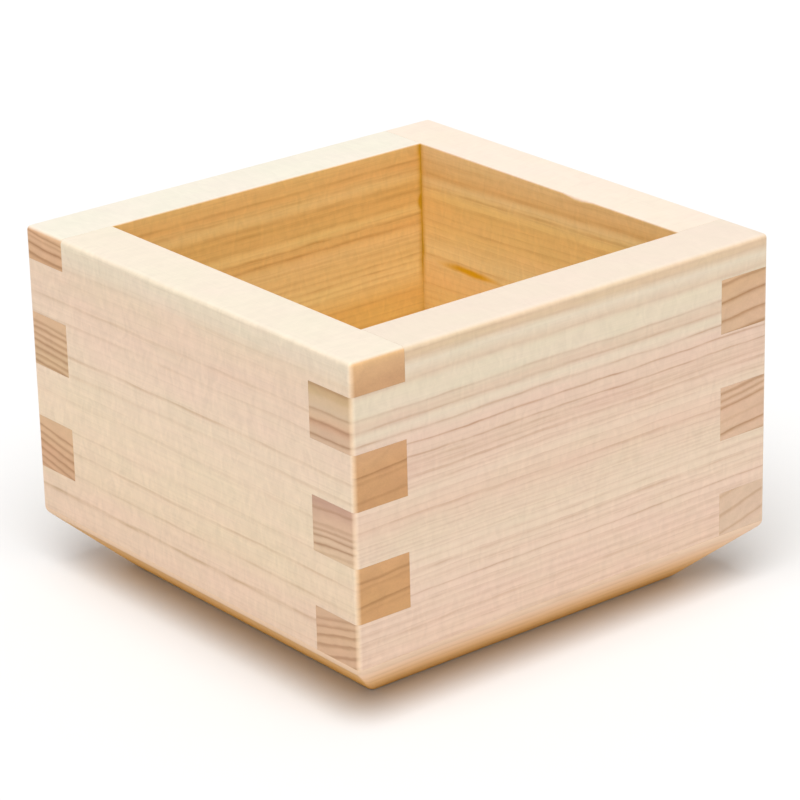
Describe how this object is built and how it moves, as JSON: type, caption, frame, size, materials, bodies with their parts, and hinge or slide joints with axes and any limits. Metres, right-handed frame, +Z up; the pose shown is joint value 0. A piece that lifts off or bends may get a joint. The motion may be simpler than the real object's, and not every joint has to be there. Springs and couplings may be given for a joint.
{
  "type": "wooden sake box",
  "caption": "Square open-topped wooden measuring and drinking box with finger-jointed sides glued on a bottom board whose edge is bevelled so that boxes stack.",
  "frame": {"origin": "centre of the underside, on the surface that the box stands on", "axes": "+Z up through the open top; the front board is on the -Y side, the right board on the +X side"},
  "size_m": [0.085, 0.085, 0.0602],
  "materials": {
    "side_wood_front": "bare planed cypress, straight grain with pink and cream bands, lightly sanded",
    "side_wood_right": "bare planed cypress, straight grain, lightly sanded",
    "side_wood_back": "bare planed cypress, straight grain, lightly sanded",
    "side_wood_left": "bare planed cypress, pale, with thin growth rings a few millimetres apart, lightly sanded",
    "base_wood": "bare planed cypress, a little deeper in colour, sanded bevel"
  },
  "bodies": {
    "root": {"front_board": "side_wood_front", "right_board": "side_wood_right", "back_board": "side_wood_back", "left_board": "side_wood_left", "base_board": "base_wood"}
  },
  "joints": []
}
